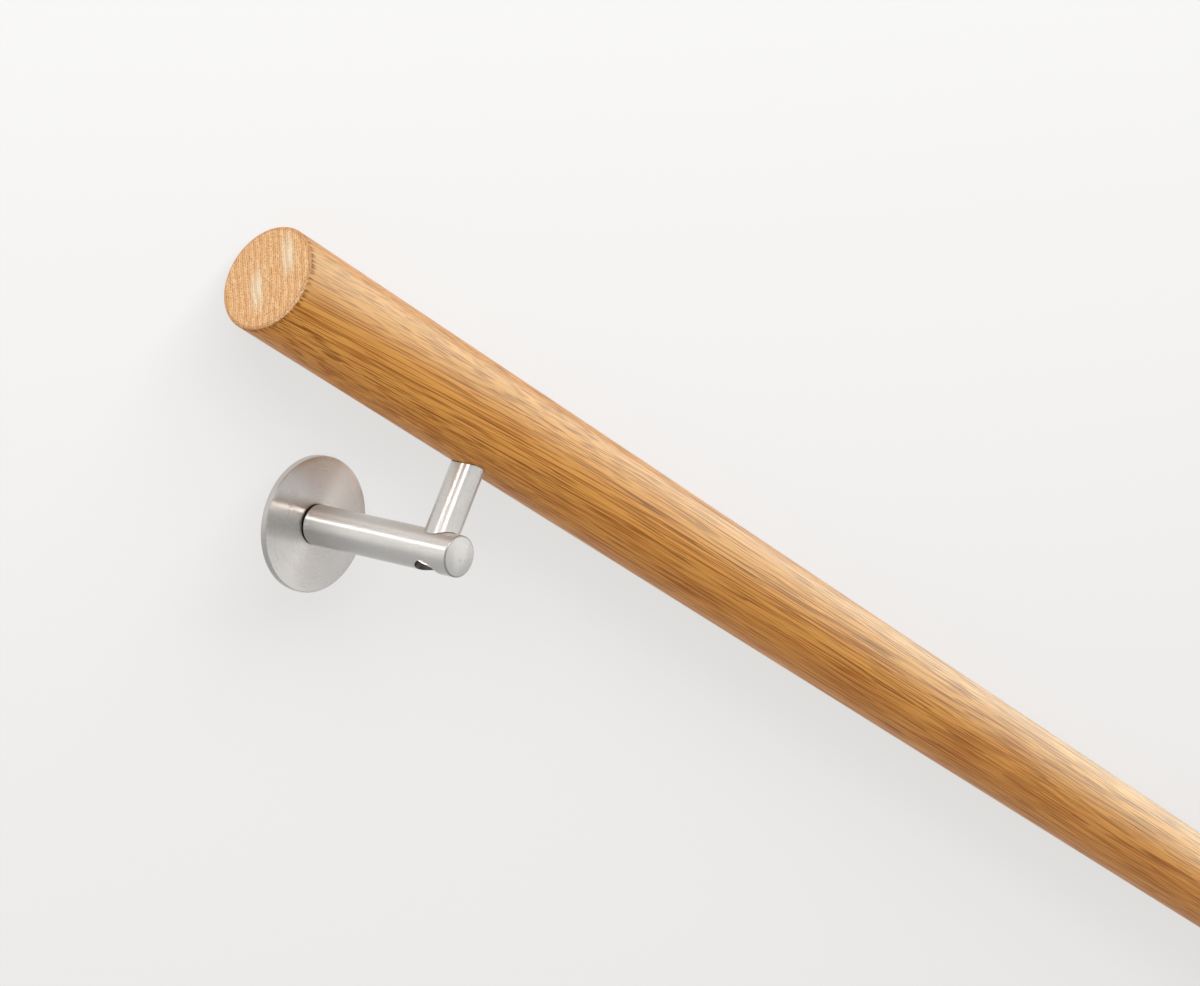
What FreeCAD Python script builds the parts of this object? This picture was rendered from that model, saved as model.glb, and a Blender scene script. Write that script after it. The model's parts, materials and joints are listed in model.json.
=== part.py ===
import FreeCAD, Part
import math
import os
from FreeCAD import Placement, Rotation, Vector

# A round oak stair handrail on two stainless wall brackets, taken off its wall and laid on a floor.
# Each piece is built as it hangs on the wall: X along the rail, Y out of the wall, Z up the stem,
# with the wall face of the discs at Y = 0 and the axis of the arms at Z = 0.
# The whole handrail is then turned about X until rail and disc rims lie on the floor, Z = 0.

# Driving dimensions, in millimetres
# Rail
rail_length = 1200.0
rail_diameter = 45.0
rail_end_round = 1.5
rail_wall_gap = 52.5
bracket_inset = 148.0

# Wall disc
disc_diameter = 60.5
disc_thickness = 3.0
disc_edge_break = 0.4

# Arm, from the disc to past the stem
arm_diameter = 18.0
arm_overhang = 15.5
arm_dome_rise = 1.2
arm_edge_round = 0.6
shadow_gap = 1.0
spigot_diameter = 13.0
wall_thread_bore = 6.8
wall_thread_depth = 20.0
wall_thread_lead_in = 0.6

# Stem, between arm and rail
stem_diameter = 15.0
stem_clear_height = 29.5

# Countersunk screw that pulls the stem on to the arm, from below
screw_diameter = 6.0
screw_length = 25.0
screw_head_diameter = 12.0
screw_socket_width = 4.0
screw_socket_depth = 2.3
screw_recess = 3.0
screw_hole_clearance = 0.2

# Hanger bolt that holds the rail on the stem
bolt_diameter = 8.0
bolt_length = 40.0
bolt_in_stem = 12.0
bolt_point_length = 6.0

# Spare depth of a tapped hole past the end of its screw
thread_runout = 1.5

# Sizes that follow from the driving ones
rail_radius = rail_diameter / 2
disc_radius = disc_diameter / 2
arm_radius = arm_diameter / 2
screw_radius = screw_diameter / 2
screw_head_radius = screw_head_diameter / 2
bolt_radius = bolt_diameter / 2

stem_y = rail_wall_gap + rail_radius
rail_z = arm_radius + stem_clear_height + rail_radius
arm_foot_y = disc_thickness + shadow_gap
arm_end_y = stem_y + arm_overhang
bracket_x = rail_length / 2 - bracket_inset

screw_head_z = -(arm_radius - screw_recess)
screw_neck_z = screw_head_z + screw_head_radius - screw_radius
screw_tip_z = screw_head_z + screw_length
bolt_foot_z = rail_z - rail_radius - bolt_in_stem
bolt_tip_z = bolt_foot_z + bolt_length

ALONG = Vector(1, 0, 0)
OUT = Vector(0, 1, 0)
UP = Vector(0, 0, 1)


def outline(points):
    """A closed face in the YZ plane through (y, z) points. A point with four numbers ends an arc
    that passes through its second pair."""
    edges = []
    start = None
    for point in points + [points[0]]:
        end = Vector(0, point[0], point[1])
        if start is not None and len(point) == 4:
            middle = Vector(0, point[2], point[3])
            edges.append(Part.Arc(start, middle, end).toShape())
        elif start is not None:
            edges.append(Part.LineSegment(start, end).toShape())
        start = end
    return Part.Face(Part.Wire(edges))


def turned(points, axis):
    """The solid that an outline sweeps in one turn about an axis through the origin."""
    return outline(points).revolve(Vector(), axis, 360)


def rod(diameter, length, base, direction):
    return Part.makeCylinder(diameter / 2, length, base, direction)


def middle_of_corner(y, z, size):
    """Half way along the quarter round that eases the outer corner at (y, z)."""
    inward = size * (1 - math.sqrt(0.5))
    return y - inward, z - inward


def hanger_bolt_shape():
    """Plain shank with a gimlet point, standing on the stem's axis."""
    shoulder_z = bolt_tip_z - bolt_point_length
    section = [
        (0, bolt_foot_z),
        (bolt_radius, bolt_foot_z),
        (bolt_radius, shoulder_z),
        (0, bolt_tip_z),
    ]
    return turned(section, UP).translated(OUT * stem_y)


def rail_shape():
    """Turned bar with eased ends and a blind hole for each hanger bolt."""
    bar = rod(rail_diameter, rail_length, Vector(-rail_length / 2, stem_y, rail_z), ALONG)
    end_circles = [e for e in bar.Edges if isinstance(e.Curve, Part.Circle)]
    bar = bar.makeFillet(rail_end_round, end_circles)
    for x in (-bracket_x, bracket_x):
        bar = bar.cut(hanger_bolt_shape().translated(ALONG * x))
    return bar


def wall_disc_shape():
    """Flat disc with a broken front edge and a seat for the arm's spigot."""
    spigot_radius = spigot_diameter / 2
    section = [
        (0, spigot_radius),
        (0, disc_radius),
        (disc_thickness - disc_edge_break, disc_radius),
        (disc_thickness, disc_radius - disc_edge_break),
        (disc_thickness, spigot_radius),
    ]
    return turned(section, OUT)


def arm_shape():
    """Round arm on a thinner spigot, so that a dark seam shows at the disc, with a low domed end.
    It is tapped for the wall stud and bored from below for the stem's screw."""
    spigot_radius = spigot_diameter / 2
    rim_y = arm_end_y - arm_dome_rise
    dome_radius = arm_radius - arm_edge_round
    dome_half = dome_radius / 2
    dome_sphere = (dome_radius**2 + arm_dome_rise**2) / (2 * arm_dome_rise)
    dome_half_y = arm_end_y - dome_sphere + math.sqrt(dome_sphere**2 - dome_half**2)
    body = turned(
        [
            (0, 0),
            (0, spigot_radius),
            (arm_foot_y, spigot_radius),
            (arm_foot_y, arm_radius),
            (rim_y - arm_edge_round, arm_radius),
            (rim_y, dome_radius, *middle_of_corner(rim_y, arm_radius, arm_edge_round)),
            (arm_end_y, 0, dome_half_y, dome_half),
        ],
        OUT,
    )
    bore_radius = wall_thread_bore / 2
    thread = turned(
        [
            (0, 0),
            (0, bore_radius + wall_thread_lead_in),
            (wall_thread_lead_in, bore_radius),
            (wall_thread_depth, bore_radius),
            (wall_thread_depth, 0),
        ],
        OUT,
    )
    return body.cut(thread).cut(screw_hole_shape())


def screw_hole_shape():
    """Counterbore, cone seat and clearance hole, right through the arm along the stem's axis."""
    head_hole = screw_head_radius + screw_hole_clearance
    shank_hole = screw_radius + screw_hole_clearance
    section = [
        (0, -arm_diameter),
        (head_hole, -arm_diameter),
        (head_hole, screw_head_z),
        (screw_head_radius, screw_head_z),
        (shank_hole, screw_neck_z - screw_hole_clearance),
        (shank_hole, arm_diameter),
        (0, arm_diameter),
    ]
    return turned(section, UP).translated(OUT * stem_y)


def stem_shape():
    """Round pin, coped to the arm below and to the rail above, tapped at both ends."""
    pin = rod(stem_diameter, rail_z, OUT * stem_y, UP)
    pin = pin.cut(rod(arm_diameter, arm_end_y + stem_diameter, Vector(), OUT))
    rail_bar = rod(rail_diameter, 2 * stem_diameter, Vector(-stem_diameter, stem_y, rail_z), ALONG)
    pin = pin.cut(rail_bar)
    screw_thread = rod(screw_diameter, screw_tip_z + thread_runout, OUT * stem_y, UP)
    bolt_thread_base = Vector(0, stem_y, bolt_foot_z - thread_runout)
    bolt_thread = rod(bolt_diameter, bolt_length, bolt_thread_base, UP)
    return pin.cut(screw_thread).cut(bolt_thread)


def stem_screw_shape():
    """Countersunk screw with a hexagon socket, its head looking down."""
    section = [
        (0, screw_head_z),
        (screw_head_radius, screw_head_z),
        (screw_radius, screw_neck_z),
        (screw_radius, screw_tip_z),
        (0, screw_tip_z),
    ]
    corner = screw_socket_width / math.sqrt(3)
    hexagon = [
        Vector(corner * math.cos(k * math.pi / 3), corner * math.sin(k * math.pi / 3), screw_head_z)
        for k in range(7)
    ]
    socket = Part.Face(Part.makePolygon(hexagon)).extrude(UP * screw_socket_depth)
    return turned(section, UP).cut(socket).translated(OUT * stem_y)


def all_pieces():
    """Node name to solid, as the handrail hangs on its wall."""
    pieces = {"rail": rail_shape()}
    bracket = {
        "wall_disc": wall_disc_shape(),
        "arm": arm_shape(),
        "stem": stem_shape(),
        "stem_screw": stem_screw_shape(),
        "hanger_bolt": hanger_bolt_shape(),
    }
    for number, x in ((1, bracket_x), (2, -bracket_x)):
        for name, solid in bracket.items():
            pieces[f"{name}_{number}"] = solid.translated(ALONG * x)
    return pieces


def lying_placement(pieces):
    """Turns the handrail over on to the plane that touches the discs' rims and the rail,
    and sets the middle of its foot print at the origin."""
    rim_to_rail = Vector(0, stem_y, rail_z - disc_radius)
    to_rail = math.degrees(math.atan2(rim_to_rail.z, rim_to_rail.y))
    to_tangent = math.degrees(math.asin(rail_radius / rim_to_rail.Length))
    turn = Placement(Vector(), Rotation(ALONG, 180 - to_rail - to_tangent))
    lying = Part.makeCompound([s.transformed(turn.toMatrix()) for s in pieces.values()])
    box = lying.optimalBoundingBox(False)
    shift = Vector(-box.Center.x, -box.Center.y, -box.ZMin)
    return Placement(shift, Rotation()).multiply(turn)


def main():
    os.makedirs("parts", exist_ok=True)
    pieces = all_pieces()
    laid = lying_placement(pieces).toMatrix()
    for name, solid in pieces.items():
        solid.transformed(laid).exportStep(f"parts/{name}.step")


main()
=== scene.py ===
import json
import math

import bmesh
import bpy
from mathutils import Matrix, Vector


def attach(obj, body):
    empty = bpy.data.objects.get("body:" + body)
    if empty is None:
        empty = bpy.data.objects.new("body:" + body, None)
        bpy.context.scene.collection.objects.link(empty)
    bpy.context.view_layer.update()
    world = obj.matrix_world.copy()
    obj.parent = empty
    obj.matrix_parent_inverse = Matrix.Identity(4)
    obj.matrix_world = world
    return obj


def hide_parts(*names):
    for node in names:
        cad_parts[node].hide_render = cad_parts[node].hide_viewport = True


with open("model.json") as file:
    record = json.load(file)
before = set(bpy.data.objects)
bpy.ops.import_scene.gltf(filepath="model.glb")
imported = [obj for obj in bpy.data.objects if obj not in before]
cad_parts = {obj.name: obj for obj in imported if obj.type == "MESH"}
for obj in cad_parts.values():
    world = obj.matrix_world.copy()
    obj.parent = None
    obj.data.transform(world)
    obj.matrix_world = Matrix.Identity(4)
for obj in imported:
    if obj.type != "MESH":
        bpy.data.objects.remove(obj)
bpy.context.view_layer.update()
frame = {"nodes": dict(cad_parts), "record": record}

# Sizes of the handrail, in metres
MM = 0.001

# Rail
RAIL_LENGTH = 1200 * MM
RAIL_RADIUS = 22.5 * MM
RAIL_END_ROUND = 1.5 * MM
RAIL_UP = 61 * MM
RAIL_HALF = RAIL_LENGTH / 2
RAIL_END_FLAT = RAIL_RADIUS - RAIL_END_ROUND

# Wall disc
DISC_RADIUS = 30.25 * MM
DISC_THICKNESS = 3 * MM
DISC_EDGE_BREAK = 0.4 * MM

# Arm, from its spigot in the disc to its domed end past the stem
ARM_RADIUS = 9 * MM
ARM_FOOT = 4 * MM
ARM_FOOT_BREAK = 0.15 * MM
ARM_END = 90.5 * MM
ARM_DOME_RISE = 1.2 * MM
ARM_EDGE_ROUND = 0.6 * MM
ARM_RIM = ARM_END - ARM_DOME_RISE
ARM_BAR_END = ARM_RIM - ARM_EDGE_ROUND
SPIGOT_RADIUS = 6.5 * MM
WALL_THREAD_RADIUS = 3.4 * MM
WALL_THREAD_DEPTH = 20 * MM
WALL_THREAD_LEAD_IN = 0.6 * MM

# Stem, between arm and rail
STEM_RADIUS = 7.5 * MM
STEM_EDGE_BREAK = 0.3 * MM
STEM_OUT = 75 * MM
STEM_SCREW_HOLE_TOP = 20.5 * MM
STEM_BOLT_HOLE_RADIUS = 4 * MM
STEM_BOLT_HOLE_FOOT = 25 * MM
STEM_SIDES = 128

# Countersunk screw, from below through the arm into the stem
SCREW_RADIUS = 3 * MM
SCREW_LENGTH = 25 * MM
SCREW_HEAD_RADIUS = 6 * MM
SCREW_HEAD_DOWN = 6 * MM
SCREW_EDGE_IN = 0.25 * MM
SCREW_EDGE_UP = 0.05 * MM
SCREW_SOCKET_APOTHEM = 2 * MM
SCREW_SOCKET_DEPTH = 2.3 * MM
SCREW_SOCKET_POINT = 0.5 * MM
SCREW_SIDES = 96
SCREW_HOLE_CLEARANCE = 0.2 * MM
HEAD_HOLE_RADIUS = SCREW_HEAD_RADIUS + SCREW_HOLE_CLEARANCE
SHANK_HOLE_RADIUS = SCREW_RADIUS + SCREW_HOLE_CLEARANCE

# How close to a surface a point counts as on it, and the bend from which an edge is sharp
TOLERANCE = 0.01 * MM
SHARP_ANGLE = math.radians(30)

# Where the photograph was taken from, in the frame of bracket 1: along the rail, out of the wall, up
CAMERA_PLACE = Vector((1.1061, 1.1135, -0.2400))
CAMERA_FORWARD = Vector((-0.7407, -0.6452, 0.1870))
CAMERA_RIGHT = Vector((-0.5642, 0.7486, 0.3482))
PHOTO_WIDTH = 1200
FOCAL_PIXELS = 3626
SENSOR_WIDTH = 36

ORIGIN = Vector((0, 0, 0))
AXES = {"X": Vector((1, 0, 0)), "Y": Vector((0, 1, 0)), "Z": Vector((0, 0, 1))}
NEXT_AXIS = {"X": "Y", "Y": "Z", "Z": "X"}
ALONG = AXES["X"]
MOUNTS = {mount["name"]: mount for mount in frame["record"]["mounts"]}
PIECE_KINDS = ("rail", "disc", "arm", "stem", "screw")


def bracket_matrix(number):
    """Frame of one bracket: X along the rail, Y out of the wall, Z up the stem, from the arm's foot."""
    to_wall = Vector(MOUNTS[f"wall_face_{number}"]["axis"])
    on_axis = Vector(MOUNTS[f"wall_thread_{number}"]["pos_m"])
    on_wall = Vector(MOUNTS[f"wall_face_{number}"]["pos_m"])
    foot = on_axis + to_wall * (on_wall - on_axis).dot(to_wall)
    out = -to_wall
    up = ALONG.cross(out)
    turn = Matrix((ALONG, out, up)).transposed().to_4x4()
    return Matrix.Translation(foot) @ turn


BRACKETS = {number: bracket_matrix(number) for number in (1, 2)}
OUT, UP = (BRACKETS[1].to_3x3().col[k].copy() for k in (1, 2))


def rail_matrix():
    """Frame of the rail, square to the floor, at the middle of its axis."""
    on_rail = [matrix @ Vector((0, STEM_OUT, RAIL_UP)) for matrix in BRACKETS.values()]
    return Matrix.Translation((on_rail[0] + on_rail[1]) / 2)


# Meshes


def arc(centre, radius, start, end, steps):
    """Points on an arc of a turned section, as (radius, height). Angle 0 points away from the axis."""
    points = []
    for step in range(steps + 1):
        angle = math.radians(start + (end - start) * step / steps)
        points.append((centre[0] + radius * math.cos(angle), centre[1] + radius * math.sin(angle)))
    return points


def spread(start, end, steps):
    """Evenly spaced points between two points of a section, the first one left out."""
    return [
        tuple(a + (b - a) * step / steps for a, b in zip(start, end))
        for step in range(1, steps + 1)
    ]


def turned_rings(section, axis, sides, centre=ORIGIN):
    """Rings of a turned piece: the section holds (radius, height along the axis) points."""
    along = AXES[axis]
    side = AXES[NEXT_AXIS[axis]]
    other = along.cross(side)
    rings = []
    for radius, height in section:
        ring = []
        for k in range(sides):
            angle = 2 * math.pi * k / sides
            around = side * math.cos(angle) + other * math.sin(angle)
            ring.append(centre + along * height + around * radius)
        rings.append(ring)
    return rings


def skin(name, rings, poles=None, bake_rows=None):
    """Closed skin through rings of points. It ends in two poles, or else the last ring joins the first.
    The map "Turned" runs once around in U and along the rings in V, in metres. The map "OFBake" fills
    the unit square, its rows spread by length or as given."""
    bm = bmesh.new()
    turned = bm.loops.layers.uv.new("Turned")
    baked = bm.loops.layers.uv.new("OFBake")
    sides = len(rings[0])
    rows = [[bm.verts.new(point) for point in ring] for ring in rings]
    if poles:
        first, last = (bm.verts.new(pole) for pole in poles)
        rows = [[first] * sides] + rows + [[last] * sides]
    else:
        rows.append(rows[0])
    heights = [0]
    for before, row in zip(rows, rows[1:]):
        heights.append(heights[-1] + (row[0].co - before[0].co).length)
    bake_heights = bake_rows or [height / heights[-1] for height in heights]
    for row in range(len(rows) - 1):
        for k in range(sides):
            after = (k + 1) % sides
            corners = [(row, k, k), (row, after, k + 1), (row + 1, after, k + 1), (row + 1, k, k)]
            verts, places = [], []
            for level, index, turn in corners:
                vert = rows[level][index]
                if vert not in verts:
                    verts.append(vert)
                    places.append((turn / sides, level))
            face = bm.faces.new(verts)
            face.smooth = True
            for loop, (u, level) in zip(face.loops, places):
                loop[turned].uv = (u, heights[level])
                loop[baked].uv = (u, bake_heights[level])
    bmesh.ops.recalc_face_normals(bm, faces=bm.faces)
    mesh = bpy.data.meshes.new(name)
    bm.to_mesh(mesh)
    bm.free()
    mesh.set_sharp_from_angle(angle=SHARP_ANGLE)
    return bpy.data.objects.new(name, mesh)


def turned_piece(name, section, axis, sides, centre=ORIGIN, bake_rows=None):
    """A turned solid whose section starts and ends on its axis."""
    rings = turned_rings(section[1:-1], axis, sides, centre)
    poles = [centre + AXES[axis] * section[k][1] for k in (0, -1)]
    return skin(name, rings, poles, bake_rows)


def rail_mesh(name):
    """Round bar with eased end arrises. Each end gets its own share of the baked map."""
    end_share = 0.1
    side_share = 1 - 2 * end_share
    straight = RAIL_HALF - RAIL_END_ROUND
    end = [(0, -RAIL_HALF)] + spread((0, -RAIL_HALF), (RAIL_END_FLAT, -RAIL_HALF), steps=8)
    end += arc((RAIL_END_FLAT, -straight), RAIL_END_ROUND, -90, 0, steps=8)[1:]
    side = spread((RAIL_RADIUS, -straight), (RAIL_RADIUS, straight), steps=72)[:-1]
    section = end + side + [(radius, -x) for radius, x in reversed(end)]
    end_rows = [end_share * k / (len(end) - 1) for k in range(len(end))]
    side_rows = [end_share + side_share * (k + 1) / (len(side) + 1) for k in range(len(side))]
    bake_rows = end_rows + side_rows + [1 - row for row in reversed(end_rows)]
    return turned_piece(name, section, "X", sides=180, bake_rows=bake_rows)


def disc_mesh(name):
    """Flat disc with a broken front edge and a seat for the arm's spigot."""
    front = DISC_THICKNESS
    inner = DISC_RADIUS - DISC_EDGE_BREAK
    section = [(SPIGOT_RADIUS, front / 2), (SPIGOT_RADIUS, 0)]
    section += spread((SPIGOT_RADIUS, 0), (DISC_RADIUS, 0), steps=6)
    section += arc((inner, front - DISC_EDGE_BREAK), DISC_EDGE_BREAK, 0, 90, steps=6)
    section += spread((inner, front), (ARM_RADIUS, front), steps=9)
    section += spread((ARM_RADIUS, front), (SPIGOT_RADIUS, front), steps=2)
    return skin(name, turned_rings(section, "Y", sides=192))


def arm_mesh(name):
    """Round arm on its spigot, tapped from the wall and bored from below for the stem's screw."""
    dome_edge = ARM_RADIUS - ARM_EDGE_ROUND
    dome_steps = 12
    sphere = (dome_edge**2 + ARM_DOME_RISE**2) / (2 * ARM_DOME_RISE)
    section = [(0, WALL_THREAD_DEPTH), (WALL_THREAD_RADIUS, WALL_THREAD_DEPTH)]
    section += [(WALL_THREAD_RADIUS, WALL_THREAD_LEAD_IN), (WALL_THREAD_RADIUS + WALL_THREAD_LEAD_IN, 0)]
    section += [(SPIGOT_RADIUS, 0), (SPIGOT_RADIUS, ARM_FOOT), (ARM_RADIUS - ARM_FOOT_BREAK, ARM_FOOT)]
    section += [(ARM_RADIUS, ARM_FOOT + ARM_FOOT_BREAK)]
    section += arc((dome_edge, ARM_BAR_END), ARM_EDGE_ROUND, 0, 90, steps=6)
    for step in range(1, dome_steps + 1):
        radius = dome_edge * (1 - step / dome_steps)
        section.append((radius, ARM_END - sphere + math.sqrt(sphere**2 - radius**2)))
    arm = turned_piece(name, section, "Y", sides=128)
    cut_out(arm, screw_hole())
    arm.data.uv_layers.remove(arm.data.uv_layers["OFBake"])
    return arm


def screw_hole():
    """What the counterbore, cone seat and clearance hole take out of an arm."""
    seat = -SCREW_HEAD_DOWN
    section = [(0, -2 * ARM_RADIUS), (HEAD_HOLE_RADIUS, -2 * ARM_RADIUS), (HEAD_HOLE_RADIUS, seat)]
    section += [(SCREW_HEAD_RADIUS, seat)]
    section += [(SHANK_HOLE_RADIUS, seat + SCREW_HEAD_RADIUS - SHANK_HOLE_RADIUS)]
    section += [(SHANK_HOLE_RADIUS, 2 * ARM_RADIUS), (0, 2 * ARM_RADIUS)]
    return turned_piece("screw_hole", section, "Z", SCREW_SIDES, Vector((0, STEM_OUT, 0)))


def cut_out(piece, cutter):
    """Takes the cutter's volume out of the piece."""
    scene = bpy.context.scene.collection
    scene.objects.link(piece)
    scene.objects.link(cutter)
    modifier = piece.modifiers.new("cut", "BOOLEAN")
    modifier.object = cutter
    modifier.operation = "DIFFERENCE"
    modifier.solver = "EXACT"
    bpy.context.view_layer.update()
    evaluated = piece.evaluated_get(bpy.context.evaluated_depsgraph_get())
    cut = bpy.data.meshes.new_from_object(evaluated)
    piece.modifiers.clear()
    piece.data = cut
    cut.set_sharp_from_angle(angle=SHARP_ANGLE)
    scene.objects.unlink(piece)
    bpy.data.objects.remove(cutter)


def arm_top(x, y):
    """Height of the arm's surface, x along the rail and y out from the stem's axis."""
    return math.sqrt(ARM_RADIUS**2 - x**2)


def rail_underside(x, y):
    """Height of the rail's underside at the same place."""
    return RAIL_UP - math.sqrt(RAIL_RADIUS**2 - y**2)


def stem_side(share):
    """Height of a ring on the stem's side, at a share of the way from its foot to its head."""
    def height(x, y):
        low = arm_top(x, y) + STEM_EDGE_BREAK
        high = rail_underside(x, y) - STEM_EDGE_BREAK
        return low + (high - low) * share
    return height


def flat_at(height):
    """The same height at each place."""
    return lambda x, y: height


def stem_ring(radius, height):
    """Ring about the stem's axis. Its height is a function of the place."""
    points = []
    for k in range(STEM_SIDES):
        x = radius * math.cos(2 * math.pi * k / STEM_SIDES)
        y = radius * math.sin(2 * math.pi * k / STEM_SIDES)
        points.append(Vector((x, STEM_OUT + y, height(x, y))))
    return points


def stem_mesh(name):
    """Round pin, coped to the arm below and to the rail above, tapped at both ends."""
    side_steps = 12
    inner = STEM_RADIUS - STEM_EDGE_BREAK
    foot = spread((SCREW_RADIUS, 0), (inner, 0), steps=6)
    head = spread((inner, 0), (STEM_BOLT_HOLE_RADIUS, 0), steps=6)
    rings = [stem_ring(SCREW_RADIUS, flat_at(STEM_SCREW_HOLE_TOP)), stem_ring(SCREW_RADIUS, arm_top)]
    rings += [stem_ring(radius, arm_top) for radius, _ in foot]
    rings += [stem_ring(STEM_RADIUS, stem_side(step / side_steps)) for step in range(side_steps + 1)]
    rings += [stem_ring(inner, rail_underside)]
    rings += [stem_ring(radius, rail_underside) for radius, _ in head]
    rings += [stem_ring(STEM_BOLT_HOLE_RADIUS, flat_at(STEM_BOLT_HOLE_FOOT))]
    poles = [Vector((0, STEM_OUT, height)) for height in (STEM_SCREW_HOLE_TOP, STEM_BOLT_HOLE_FOOT)]
    return skin(name, rings, poles)


def socket_ring(centre, height):
    """Ring in the shape of the screw's hexagon socket."""
    points = []
    for k in range(SCREW_SIDES):
        angle = 2 * math.pi * k / SCREW_SIDES
        off_flat = angle % (math.pi / 3) - math.pi / 6
        radius = SCREW_SOCKET_APOTHEM / math.cos(off_flat)
        points.append(centre + Vector((radius * math.cos(angle), radius * math.sin(angle), height)))
    return points


def screw_mesh(name):
    """Countersunk screw with a hexagon socket, its head looking down."""
    centre = Vector((0, STEM_OUT, 0))
    face = -SCREW_HEAD_DOWN
    socket_top = face + SCREW_SOCKET_DEPTH
    section = [(SCREW_HEAD_RADIUS - SCREW_EDGE_IN, face)]
    section += [(SCREW_HEAD_RADIUS, face + SCREW_EDGE_UP)]
    section += [(SCREW_RADIUS, face + SCREW_HEAD_RADIUS - SCREW_RADIUS)]
    section += [(SCREW_RADIUS, face + SCREW_LENGTH)]
    rings = [socket_ring(centre, socket_top), socket_ring(centre, face)]
    rings += turned_rings(section, "Z", SCREW_SIDES, centre)
    pole_heights = (socket_top + SCREW_SOCKET_POINT, face + SCREW_LENGTH)
    return skin(name, rings, [centre + AXES["Z"] * height for height in pole_heights])


def place(piece, matrix, material, slot, *nodes):
    """Puts a piece in its frame, gives it its finish and lets it stand for its CAD nodes."""
    bpy.context.scene.collection.objects.link(piece)
    piece.matrix_world = matrix
    piece.data.materials.append(material)
    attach(piece, "root")
    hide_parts(*nodes)
    return piece


# Materials


class Nodes:
    """Small helper that adds nodes to a node tree and links them."""

    def __init__(self, tree):
        self.tree = tree

    def add(self, kind, inputs=None, **settings):
        node = self.tree.nodes.new(kind)
        for name, value in settings.items():
            setattr(node, name, value)
        for socket, value in (inputs or {}).items():
            self.put(node.inputs[socket], value)
        return node

    def put(self, socket, value):
        if isinstance(value, bpy.types.NodeSocket):
            self.tree.links.new(value, socket)
        else:
            socket.default_value = value

    def shade(self, **inputs):
        """Sets the shader's sockets, named with underscores for spaces."""
        shader = self.tree.nodes["Principled BSDF"]
        for name, value in inputs.items():
            self.put(shader.inputs[name.replace("_", " ")], value)

    def math(self, operation, a, b=0.0):
        return self.add("ShaderNodeMath", {0: a, 1: b}, operation=operation).outputs[0]

    def vector(self, operation, a, b=(0, 0, 0)):
        return self.add("ShaderNodeVectorMath", {0: a, 1: b}, operation=operation).outputs

    def dot(self, a, b):
        return self.vector("DOT_PRODUCT", a, b)["Value"]

    def length(self, vector):
        return self.vector("LENGTH", vector)["Value"]

    def combine(self, x, y, z):
        return self.add("ShaderNodeCombineXYZ", {"X": x, "Y": y, "Z": z}).outputs[0]

    def split(self, vector):
        return self.add("ShaderNodeSeparateXYZ", {0: vector}).outputs

    def own_place(self):
        """Place on the piece, in metres in its own frame."""
        return self.add("ShaderNodeTexCoord").outputs["Object"]

    def noise(self, vector, density, detail=2.0, roughness=0.5):
        """Noise with the given number of cells to the metre in each direction."""
        inputs = {"Vector": self.vector("MULTIPLY", vector, density)["Vector"], "Scale": 1.0}
        inputs.update({"Detail": detail, "Roughness": roughness})
        return self.add("ShaderNodeTexNoise", inputs).outputs["Fac"]

    def range(self, value, low, high, to_low=0.0, to_high=1.0):
        """Smooth step from one value to another."""
        inputs = {"Value": value, "From Min": low, "From Max": high, "To Min": to_low, "To Max": to_high}
        step = self.add("ShaderNodeMapRange", inputs, interpolation_type="SMOOTHSTEP", clamp=True)
        return step.outputs[0]

    def mix(self, factor, a, b):
        node = self.add("ShaderNodeMix", data_type="RGBA")
        self.put(node.inputs["Factor"], factor)
        self.put(node.inputs["A"], a)
        self.put(node.inputs["B"], b)
        return node.outputs["Result"]

    def bump(self, height, strength, distance):
        inputs = {"Height": height, "Strength": strength, "Distance": distance}
        return self.add("ShaderNodeBump", inputs).outputs[0]


def new_material(name):
    """A material and the helper for its nodes."""
    material = bpy.data.materials.new(name)
    material.use_nodes = True
    return material, Nodes(material.node_tree)


def rgb(red, green, blue):
    """A colour from its 8-bit screen values, as the shaders take it."""
    def linear(value):
        share = value / 255
        return share / 12.92 if share <= 0.04045 else ((share + 0.055) / 1.055) ** 2.4
    return (linear(red), linear(green), linear(blue), 1.0)


# Directions square to the rail: across it and towards the viewer in the photograph, and to the side on
# which a painted glint lines the end's arris
ACROSS_WAY = OUT * 0.2784 + UP * 0.9605
TOWARDS_WAY = OUT * 0.9605 - UP * 0.2784
GLINT_WAY = OUT * 0.85 - UP * 0.53

# Growth rings of the oak
RING_WIDTH = 3.2 * MM
RING_TURN = math.radians(45.8)
PITH_DISTANCE = 130 * MM
GRAIN_CLIMB = 17.5 * MM
GRAIN_SETTLE = 250 * MM
GRAIN_SWAY = 1.5 * MM

# Zones across the rings: painted shade that browns the side of the rail lying low in the camera's view,
# painted sheen that pales the side lying high, and the span in which the pores fade under that painted
# sheen
PAINTED_SHADE_ZONE = (-4 * MM, 7 * MM)
PAINTED_SHEEN_ZONE = (13 * MM, 24 * MM)
PORES_UNDER_PAINTED_SHEEN = (8 * MM, 20 * MM)

# Fineness of the grain, in cells to the metre: along the rail, across the rings, along the rings
FINE_LINES = (15, 1650, 1650)
BROAD_STREAKS = (2.2, 330, 330)
PORE_DASHES = (24, 1650, 1650)
PORE_BANDS = (4, 240, 240)
RING_WAVER = (5, 70, 70)
GRAIN_WANDER = (4, 12, 12)
TORN_FIBRES = (0, 950, 950)
END_GLINT_SPECKS = (0, 1300, 1300)
END_CLOUDS = (0, 260, 260)
END_ROW_WAVER = (0, 130, 130)
END_DOTS = (0, 1500, 1500)

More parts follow.
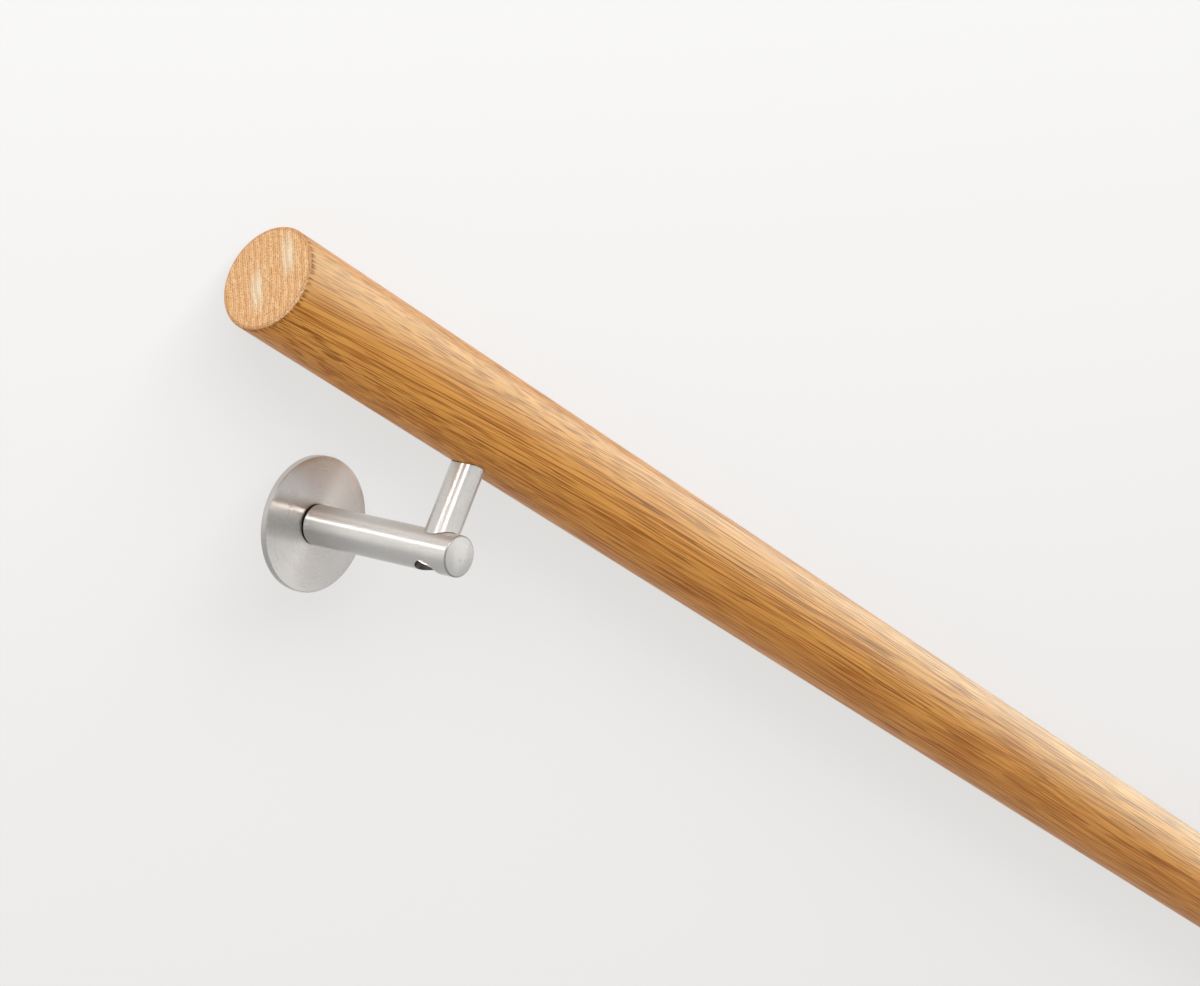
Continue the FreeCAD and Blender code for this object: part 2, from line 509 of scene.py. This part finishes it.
# How much of its colour each mark on the wood gives, painted sheen, shade and glint among them, from 0
# to 1
STREAK_SHARE = 0.15
EARLY_SHARE = 0.06
PORE_SHARE = 0.75
PAINTED_SHADE_SHARE = 0.3
PAINTED_SHEEN_SHARE = 0.3
TORN_SHARE = 0.8
RIM_SHARE = 0.35
PAINTED_GLINT_SHARE = 0.7
END_EARLY_SHARE = 0.36
END_PORE_SHARE = 0.72
PATCH_PORE_LOSS = 0.5

# Colours of the oak, on its side and on its sawn ends
OAK_LIGHT = rgb(243, 171, 80)
# Colour of the fine lines and streaks, and also of the painted shade on the low side
OAK_LINE_AND_SHADE = rgb(182, 104, 26)
OAK_DARK = rgb(132, 69, 8)
# Painted sheen, mixed in on the side of the rail that lies high in the camera's view
OAK_PAINTED_SHEEN = rgb(244, 206, 158)
END_LIGHT = rgb(253, 210, 157)
END_DEEP = rgb(243, 189, 132)
END_PATCH = rgb(255, 236, 202)
END_EARLY = rgb(198, 132, 72)
END_PORE = rgb(160, 94, 42)
END_RIM = rgb(168, 104, 52)
# Painted glint on the end's arris
END_PAINTED_GLINT = rgb(255, 232, 200)

# Light patches on the sawn ends: their places across and along the rings, and their reach
END_PATCHES = ((-4.7 * MM, -3.3 * MM), (11.6 * MM, 6.8 * MM))
END_PATCH_REACH = (3.6 * MM, 10 * MM)

# Rows of pore dots on the sawn ends: their spacing, and how far they waver, in radians of it
END_PORE_ROW = 1.1 * MM
END_ROW_SWING = 8.0

# Feel of the oak: roughness between and on its lines, how much rougher its ends are, depth of its
# pores, and of its lines as a share of that
OAK_ROUGHNESS = (0.5, 0.42)
END_ROUGHER = 0.25
GRAIN_RELIEF = 0.2 * MM
LINE_RELIEF = 0.4


def oak_material():
    """Oiled oak cut out of growth rings: its grain lies as thin lines along the side and as dots
    on the ends."""
    material, n = new_material("oiled_oak")
    spot = n.own_place()
    x = n.split(spot)[0]
    radial, tangent = ring_axes(n, spot, x)
    wood = n.combine(x, radial, tangent)
    early = early_wood(n, wood, radial, tangent)
    lines = n.noise(wood, FINE_LINES, detail=1.5, roughness=0.6)
    pores = pore_dashes(n, wood, radial)
    inward = n.math("SUBTRACT", RAIL_HALF, n.math("ABSOLUTE", x))
    on_end = n.range(inward, 0.3 * MM, 0.9 * MM, 1.0, 0.0)

    side = side_colour(n, wood, radial, early, lines, pores)
    side = n.mix(n.math("MULTIPLY", torn_arris(n, wood, inward), TORN_SHARE), side, OAK_DARK)
    end = rim_of_end(n, spot, wood, end_grain_colour(n, wood, radial, tangent, early))
    relief = n.math("SUBTRACT", n.math("MULTIPLY", lines, LINE_RELIEF), pores)
    side_roughness = n.range(lines, 0.2, 0.8, *OAK_ROUGHNESS)
    end_roughness = n.math("MULTIPLY", on_end, END_ROUGHER)
    n.shade(
        Base_Color=n.mix(on_end, side, end),
        Roughness=n.math("ADD", side_roughness, end_roughness),
        Specular_IOR_Level=0.16,
        Coat_Weight=0.14,
        Coat_Roughness=0.34,
        Normal=n.bump(relief, strength=0.1, distance=GRAIN_RELIEF),
    )
    return material


def ring_axes(n, spot, x):
    """Places across and along the growth rings. The grain climbs across the rail, most near the end
    by the first bracket."""
    from_end = n.math("SUBTRACT", RAIL_HALF, x)
    settle = n.math("EXPONENT", n.math("MULTIPLY", from_end, -1 / GRAIN_SETTLE))
    climb = n.math("MULTIPLY", n.math("SUBTRACT", 1.0, settle), GRAIN_CLIMB)
    sway = n.range(n.noise(spot, GRAIN_WANDER, detail=1.0), 0, 1, -GRAIN_SWAY, GRAIN_SWAY)
    across = n.math("SUBTRACT", n.dot(spot, ACROSS_WAY), n.math("ADD", climb, sway))
    towards = n.dot(spot, TOWARDS_WAY)
    cosine = math.cos(RING_TURN)
    sine = math.sin(RING_TURN)
    radial = n.math("ADD", n.math("MULTIPLY", towards, cosine), n.math("MULTIPLY", across, sine))
    tangent = n.math("SUBTRACT", n.math("MULTIPLY", across, cosine), n.math("MULTIPLY", towards, sine))
    return radial, tangent


def early_wood(n, wood, radial, tangent):
    """1 in the porous start of each growth ring, 0 in its dense end. The pith lies outside the rail."""
    from_pith = n.length(n.combine(n.math("ADD", radial, PITH_DISTANCE), tangent, 0.0))
    waver = n.range(n.noise(wood, RING_WAVER), 0.2, 0.8, -0.45, 0.45)
    share = n.math("FRACT", n.math("ADD", n.math("DIVIDE", from_pith, RING_WIDTH), waver))
    return n.math("MULTIPLY", n.range(share, 0.0, 0.1), n.range(share, 0.2, 0.8, 1.0, 0.0))


def pore_dashes(n, wood, radial):
    """1 on the short dark dashes of cut pores, which lie along the grain, denser in some bands and
    fainter under the painted sheen."""
    dashes = n.range(n.noise(wood, PORE_DASHES, detail=0.0), 0.61, 0.66)
    bands = n.range(n.noise(wood, PORE_BANDS, detail=1.0), 0.35, 0.65, 0.65, 1.0)
    # The pores fade where the painted sheen lies
    under_painted_sheen = n.range(radial, *PORES_UNDER_PAINTED_SHEEN, 1.0, 0.35)
    return n.math("MULTIPLY", dashes, n.math("MULTIPLY", bands, under_painted_sheen))


def side_colour(n, wood, radial, early, lines, pores):
    """Golden side with fine lines, broad streaks and pores, browned by painted shade on the side that
    lies low in the camera's view and paled by a painted sheen on the side that lies high."""
    streaks = n.noise(wood, BROAD_STREAKS)
    colour = n.mix(n.range(lines, 0.35, 0.55), OAK_LINE_AND_SHADE, OAK_LIGHT)
    colour = n.mix(n.range(streaks, 0.45, 0.68, 0.0, STREAK_SHARE), colour, OAK_LINE_AND_SHADE)
    colour = n.mix(n.math("MULTIPLY", early, EARLY_SHARE), colour, OAK_DARK)
    colour = n.mix(n.math("MULTIPLY", pores, PORE_SHARE), colour, OAK_DARK)
    # Painted shade: the side that lies low in the camera's view is browned
    colour = n.mix(n.range(radial, *PAINTED_SHADE_ZONE, PAINTED_SHADE_SHARE, 0.0), colour, OAK_LINE_AND_SHADE)
    # Painted sheen: the side that lies high in the camera's view is paled
    return n.mix(n.range(radial, *PAINTED_SHEEN_ZONE, 0.0, PAINTED_SHEEN_SHARE), colour, OAK_PAINTED_SHEEN)


def torn_arris(n, wood, inward):
    """1 where torn fibres darken the side just behind the end's arris."""
    torn = n.range(n.noise(wood, TORN_FIBRES, detail=1.0), 0.46, 0.56)
    start = n.range(inward, 0.5 * MM, 0.8 * MM)
    stop = n.range(inward, 1.2 * MM, 4 * MM, 1.0, 0.0)
    return n.math("MULTIPLY", torn, n.math("MULTIPLY", start, stop))


def end_grain_colour(n, wood, radial, tangent, early):
    """Paler sawn end with fine rows of pore dots and two light patches."""
    clouds = n.noise(wood, END_CLOUDS, detail=3.0, roughness=0.7)
    colour = n.mix(n.range(clouds, 0.3, 0.7), END_LIGHT, END_DEEP)
    pale = light_patches(n, radial, tangent)
    colour = n.mix(pale, colour, END_PATCH)
    colour = n.mix(n.math("MULTIPLY", early, END_EARLY_SHARE), colour, END_EARLY)
    waver = n.math("MULTIPLY", n.noise(wood, END_ROW_WAVER), END_ROW_SWING)
    turns = n.math("ADD", n.math("MULTIPLY", radial, 2 * math.pi / END_PORE_ROW), waver)
    rows = n.range(n.math("SINE", turns), -0.7, 0.6)
    dots = n.range(n.noise(wood, END_DOTS, detail=1.5), 0.44, 0.6)
    share = n.math("SUBTRACT", END_PORE_SHARE, n.math("MULTIPLY", pale, PATCH_PORE_LOSS))
    return n.mix(n.math("MULTIPLY", n.math("MULTIPLY", rows, dots), share), colour, END_PORE)


def light_patches(n, radial, tangent):
    """1 in the middle of the end's light patches, 0 outside them."""
    pale = 0.0
    for radial_place, tangent_place in END_PATCHES:
        from_radial = n.math("DIVIDE", n.math("SUBTRACT", radial, radial_place), END_PATCH_REACH[0])
        from_tangent = n.math("DIVIDE", n.math("SUBTRACT", tangent, tangent_place), END_PATCH_REACH[1])
        reach = n.length(n.combine(from_radial, from_tangent, 0.0))
        pale = n.math("ADD", pale, n.range(reach, 0.0, 1.5, 1.0, 0.0))
    return pale


def rim_of_end(n, spot, wood, colour):
    """End grain that darkens to a brown line at its rim, which on one side breaks up into the specks of
    a painted glint.
    """
    _, y, z = n.split(spot)
    beyond_flat = n.math("SUBTRACT", n.length(n.combine(y, z, 0.0)), RAIL_END_FLAT)
    colour = n.mix(n.range(beyond_flat, -0.4 * MM, 0.2 * MM, 0.0, RIM_SHARE), colour, END_RIM)
    # Painted glint: pale specks on the rim of the end, on one side only
    torn = n.range(n.dot(spot, GLINT_WAY), 15 * MM, 21 * MM)
    glint_specks = n.range(n.noise(wood, END_GLINT_SPECKS, detail=1.0), 0.45, 0.55, 0.0, PAINTED_GLINT_SHARE)
    on_rim = n.range(beyond_flat, 0.2 * MM, 0.6 * MM)
    return n.mix(n.math("MULTIPLY", n.math("MULTIPLY", torn, glint_specks), on_rim), colour, END_PAINTED_GLINT)


# Finishes of the steel: colour, roughness, anisotropy, lines to the metre and their strength
STEELS = {
    "turned_disc_steel": (rgb(209, 206, 202), 0.26, 0.95, 5200, 0.03),
    "satin_bar_steel": (rgb(227, 224, 219), 0.33, 0.93, 3800, 0.03),
    "faced_end_steel": (rgb(224, 221, 216), 0.3, 0.0, 3800, 0.02),
    "screw_steel": (rgb(200, 196, 192), 0.28, 0.2, 3000, 0.2),
    # Painted dark reflection along the arm's end edge
    "painted_dark_edge_steel": (rgb(172, 168, 163), 0.3, 0.0, 3800, 0.02),
    # Painted shade in the screw's counterbore
    "painted_shade_bore_steel": (rgb(118, 110, 103), 0.35, 0.0, 3000, 0.05),
}

# Drift of the lines on their way around, their depth, the shade of worn steel, the unevenness of its
# roughness, and its clouds
STEEL_LINE_DRIFT = 1.5
STEEL_RELIEF = 0.02 * MM
STEEL_WORN = 0.92
STEEL_UNEVEN = 0.02
STEEL_CLOUDS = (90, 90, 90)

# Painted shade: dark steel for the seams, the seat under the arm, the broken edges and the tapped holes
SHADE_PAINT_LIGHT = rgb(52, 47, 42)
SHADE_PAINT_DARK = rgb(40, 36, 32)
SHADE_PAINT_CLOUDS = (600, 600, 600)

# Finishes of an arm, its bar's first; the rest carry a painted dark reflection on the end's edge and
# painted shade in the seam, tapped hole and screw's counterbore
ARM_STEELS = ("satin_bar_steel", "faced_end_steel", "painted_dark_edge_steel", "painted_shade_steel", "painted_shade_bore_steel")


def steel_material(name, colour, roughness, anisotropy, line_density, line_strength):
    """Stainless steel with fine lines from the lathe or belt, which run around the piece."""
    material, n = new_material(name)
    u, v, _ = n.split(n.add("ShaderNodeUVMap", uv_map="Turned").outputs[0])
    around = n.math("MULTIPLY", u, 2 * math.pi)
    circle = n.combine(n.math("COSINE", around), n.math("SINE", around), v)
    density = (STEEL_LINE_DRIFT, STEEL_LINE_DRIFT, line_density)
    lines = n.noise(circle, density, detail=3.0, roughness=0.65)
    clouds = n.noise(n.own_place(), STEEL_CLOUDS, detail=3.0)
    worn = tuple(STEEL_WORN * c for c in colour[:3]) + (1.0,)
    by_lines = n.range(lines, 0.2, 0.8, roughness - STEEL_UNEVEN, roughness + STEEL_UNEVEN)
    by_clouds = n.range(clouds, 0.3, 0.7, -STEEL_UNEVEN, STEEL_UNEVEN)
    n.shade(
        Base_Color=n.mix(n.range(lines, 0.3, 0.7), colour, worn),
        Metallic=1.0,
        Roughness=n.math("ADD", by_lines, by_clouds),
        Anisotropic=anisotropy,
        Anisotropic_Rotation=0.25,
        Tangent=n.add("ShaderNodeTangent", direction_type="UV_MAP", uv_map="Turned").outputs[0],
        Normal=n.bump(lines, line_strength, STEEL_RELIEF),
    )
    return material


def painted_shade_material():
    """Dark steel that paints shade into the tapped holes and the seams between the pieces."""
    material, n = new_material("painted_shade_steel")
    clouds = n.noise(n.own_place(), SHADE_PAINT_CLOUDS)
    n.shade(
        Base_Color=n.mix(n.range(clouds, 0.3, 0.7), SHADE_PAINT_LIGHT, SHADE_PAINT_DARK),
        Metallic=1.0,
        Roughness=0.5,
    )
    return material


def finish_disc(mesh, steels):
    """Paints shade on the seat under the arm, so that the seam around the arm's foot is dark."""
    mesh.materials.append(steels["painted_shade_steel"])
    for face in mesh.polygons:
        face.material_index = int(math.hypot(face.center.x, face.center.z) < ARM_RADIUS)


def finish_stem(mesh, steels):
    """Paints shade on the broken edges, copes and tapped holes, so that a dark line shows at each joint.
    """
    mesh.materials.append(steels["painted_shade_steel"])
    for face in mesh.polygons:
        corners = [mesh.vertices[index].co for index in face.vertices]
        inmost = min(math.hypot(c.x, c.y - STEM_OUT) for c in corners)
        face.material_index = int(inmost < STEM_RADIUS - TOLERANCE)


def finish_arm(mesh, steels):
    """Shades the arm's bar as a true cylinder and gives all the rest its own finish, with a painted dark
    reflection on the end's edge and painted shade in the seam, tapped hole and screw's counterbore.
    """
    for name in ARM_STEELS[1:]:
        mesh.materials.append(steels[name])
    normals = []
    for face in mesh.polygons:
        corners = [mesh.vertices[index].co for index in face.vertices]
        on_bar = all(abs(math.hypot(c.x, c.z) - ARM_RADIUS) < TOLERANCE for c in corners)
        if on_bar and face.center.y <= ARM_BAR_END:
            normals += [Vector((c.x, 0, c.z)).normalized() for c in corners]
        else:
            normals += [ORIGIN] * len(corners)
            face.material_index = ARM_STEELS.index(steel_off_bar(face.center))
    mesh.normals_split_custom_set(normals)


def steel_off_bar(centre):
    """Finish of a face that isn't on the arm's bar, from the face's middle."""
    if centre.y > ARM_RIM:
        return "faced_end_steel"
    # The end's edge gets a painted dark reflection
    if centre.y > ARM_BAR_END:
        return "painted_dark_edge_steel"
    # The screw's counterbore gets painted shade
    if math.hypot(centre.x, centre.y - STEM_OUT) < HEAD_HOLE_RADIUS:
        return "painted_shade_bore_steel"
    # The spigot, foot and tapped hole get painted shade
    return "painted_shade_steel"


# Stage


# Light of the studio, as radiance
FLOOR_GLOW = 0.68
FLOOR_GLOW_TINT = (1.0, 0.987, 0.966, 1.0)
FLOOR_GREY = (0.1, 0.1, 0.1, 1.0)
ROOM_TOP = 0.57
ROOM_BACK = 0.44
ROOM_FRONT = 1.2
ROOM_TINT = (0.985, 0.99, 1.0, 1.0)

# Where the room is brightest, and how fast it dims to the sides and upwards
ROOM_FRONT_AZIMUTH = 30
ROOM_SIDE_POWER = 1.5
ROOM_HEIGHT_POWER = 1.8

# Reach of the floor and distance of the softboxes, in metres; the floor lies just clear of the handrail
FLOOR_REACH = 12
FLOOR_DROP = 0.2 * MM
SOFTBOX_DISTANCE = 2.6


def floor_material():
    """Pale matt floor that glows a little."""
    material, n = new_material("pale_floor")
    n.shade(
        Base_Color=FLOOR_GREY,
        Roughness=0.9,
        Specular_IOR_Level=0.1,
        Emission_Color=FLOOR_GLOW_TINT,
        Emission_Strength=FLOOR_GLOW,
    )
    return material


def add_floor():
    """Wide plain floor."""
    corners = [(FLOOR_REACH * x, FLOOR_REACH * y, 0) for x, y in ((-1, -1), (1, -1), (1, 1), (-1, 1))]
    mesh = bpy.data.meshes.new("floor")
    mesh.from_pydata(corners, [], [(0, 1, 2, 3)])
    mesh.materials.append(floor_material())
    floor = bpy.data.objects.new("floor", mesh)
    floor.location.z = -FLOOR_DROP
    bpy.context.scene.collection.objects.link(floor)
    return floor


def direction(azimuth, elevation):
    """Unit vector in degrees. Azimuth 0 is the -Y side, 90 the +X side."""
    a = math.radians(azimuth)
    e = math.radians(elevation)
    return Vector((math.sin(a) * math.cos(e), -math.cos(a) * math.cos(e), math.sin(e)))


def bracket_way(along, out, up):
    """Unit vector in the frame of the brackets."""
    return (ALONG * along + OUT * out + UP * up).normalized()


def add_softbox(name, towards, size, radiance, receivers, tall_way=AXES["Z"], tint=(1, 1, 1)):
    """Rectangular light with its angular width and height in degrees, for the given pieces alone."""
    wide, tall = (2 * SOFTBOX_DISTANCE * math.tan(math.radians(angle / 2)) for angle in size)
    light = bpy.data.lights.new(name, "AREA")
    light.shape = "RECTANGLE"
    light.size = wide
    light.size_y = tall
    light.energy = radiance * math.pi * wide * tall
    light.color = tint
    box = bpy.data.objects.new(name, light)
    side = tall_way.cross(towards).normalized()
    turn = Matrix((side, towards.cross(side), towards)).transposed().to_4x4()
    box.matrix_world = Matrix.Translation(BRACKETS[1].translation + towards * SOFTBOX_DISTANCE) @ turn
    bpy.context.scene.collection.objects.link(box)
    group = bpy.data.collections.new(f"lit_by_{name}")
    for piece in receivers:
        group.objects.link(piece)
    box.light_linking.receiver_collection = group
    return box


def add_sheen(name, towards, size, radiance, receivers, tall_way=AXES["Z"], tint=(1, 1, 1)):
    """Softbox that only gives sheen. It throws no shadow, so it may stand under the floor."""
    box = add_softbox(name, towards, size, radiance, receivers, tall_way, tint)
    box.data.use_shadow = False
    box.data.cycles.use_multiple_importance_sampling = False
    box.visible_diffuse = False


def add_lights(pieces, floor):
    """Lights that stand in for those of the photograph. Each has its direction, angular size, radiance
    and the pieces it reaches. The handrail lies upside down, so its sheen comes from below."""
    rail, discs, arms, stems, screws = (pieces[kind] for kind in PIECE_KINDS)
    add_softbox("front", direction(-2, 20), (60, 26), 0.2, rail)
    add_softbox("end_light", direction(88, 5), (20, 16), 3.2, rail)
    add_softbox("floor_key", direction(45, 16), (40, 24), 58, [floor], tint=(1, 1.01, 1.05))
    below_rail = Vector((-0.741, -0.62, -0.24)).normalized()
    add_sheen("rail_sheen", below_rail, (60, 52), 3.9, rail, tint=(0.8, 1.06, 0.92))
    add_sheen("arm_band", bracket_way(0.76, -0.62, 0.17), (7, 40), 2.5, arms, OUT)
    add_sheen("arm_glow", bracket_way(0.75, -0.62, -0.1), (62, 40), 0.27, arms, OUT)
    add_sheen("arm_in_disc", bracket_way(0.55, 0.62, 0.56), (9, 40), 10, arms, OUT)
    add_sheen("stem_band", bracket_way(0.986, 0.087, 0.15), (16, 40), 2.2, stems, UP)
    add_sheen("stem_band_2", bracket_way(0.718, 0.67, 0.187), (14, 40), 2.2, stems, UP)
    add_sheen("stem_glow", bracket_way(-0.469, 0.883, 0.187), (88, 40), 0.2, stems, UP)
    add_softbox("disc_front", bracket_way(-0.69, 0.67, 0.275), (40, 32), 0.14, discs)
    add_sheen("disc_streak", bracket_way(-0.75, 0.559, 0.354), (8, 8), 1.5, discs)
    add_sheen("disc_sky", bracket_way(-0.657, 0.754, 0.008), (14, 14), 0.6, discs)
    add_sheen("dome_sky", bracket_way(-0.617, 0.742, 0.263), (36, 36), 0.3, arms)
    add_sheen("screw_glint", bracket_way(-0.741, -0.645, -0.187), (40, 40), 2.0, screws)


def add_room():
    """Soft room light: brightest low in front, dim overhead and behind."""
    world = bpy.data.worlds.new("studio")
    world.use_nodes = True
    n = Nodes(world.node_tree)
    way = n.add("ShaderNodeTexCoord").outputs["Generated"]
    toward = n.math("MULTIPLY", n.dot(way, direction(ROOM_FRONT_AZIMUTH, 0)), 0.5)
    front = n.math("POWER", n.math("ADD", toward, 0.5), ROOM_SIDE_POWER)
    low = n.math("ADD", ROOM_BACK, n.math("MULTIPLY", front, ROOM_FRONT - ROOM_BACK))
    height = n.math("MAXIMUM", n.split(way)[2], 0.0)
    near_floor = n.math("POWER", n.math("SUBTRACT", 1.0, height), ROOM_HEIGHT_POWER)
    high = n.math("MULTIPLY", n.math("SUBTRACT", 1.0, near_floor), ROOM_TOP)
    background = n.tree.nodes["Background"]
    n.put(background.inputs["Strength"], n.math("ADD", n.math("MULTIPLY", low, near_floor), high))
    n.put(background.inputs["Color"], ROOM_TINT)
    bpy.context.scene.world = world


def add_camera():
    """Camera at the photograph's place."""
    data = bpy.data.cameras.new("camera")
    data.sensor_fit = "HORIZONTAL"
    data.sensor_width = SENSOR_WIDTH
    data.lens = SENSOR_WIDTH * FOCAL_PIXELS / PHOTO_WIDTH
    camera = bpy.data.objects.new("camera", data)
    turn = BRACKETS[1].to_3x3()
    forward = (turn @ CAMERA_FORWARD).normalized()
    right = (turn @ CAMERA_RIGHT).normalized()
    axes = Matrix((right, right.cross(forward), -forward)).transposed().to_4x4()
    camera.matrix_world = Matrix.Translation(BRACKETS[1] @ CAMERA_PLACE) @ axes
    bpy.context.scene.collection.objects.link(camera)
    bpy.context.scene.camera = camera


def build():
    """Makes all pieces and returns them by kind."""
    steels = {name: steel_material(name, *finish) for name, finish in STEELS.items()}
    # Dark steel that paints shade into the seams and holes
    steels["painted_shade_steel"] = painted_shade_material()
    pieces = {kind: [] for kind in PIECE_KINDS}
    pieces["rail"].append(place(rail_mesh("oak_rail"), rail_matrix(), oak_material(), "oak", "rail"))
    makers = {
        "disc": (disc_mesh, "turned_disc_steel", "stainless_steel", "wall_disc"),
        "arm": (arm_mesh, "satin_bar_steel", "stainless_steel", "arm"),
        "stem": (stem_mesh, "satin_bar_steel", "stainless_steel", "stem"),
        "screw": (screw_mesh, "screw_steel", "screw_steel", "stem_screw"),
    }
    finishers = {"disc": finish_disc, "arm": finish_arm, "stem": finish_stem}
    for number, matrix in BRACKETS.items():
        for kind, (make, steel, slot, node) in makers.items():
            piece = make(f"{kind}_piece_{number}")
            pieces[kind].append(place(piece, matrix, steels[steel], slot, f"{node}_{number}"))
        bolt = frame["nodes"][f"hanger_bolt_{number}"]
        bolt.data.materials.clear()
        bolt.data.materials.append(steels["screw_steel"])
    for kind, finish in finishers.items():
        for piece in pieces[kind]:
            finish(piece.data, steels)
    return pieces


add_lights(build(), add_floor())
add_room()
add_camera()
bpy.context.scene.view_settings.view_transform = "Standard"
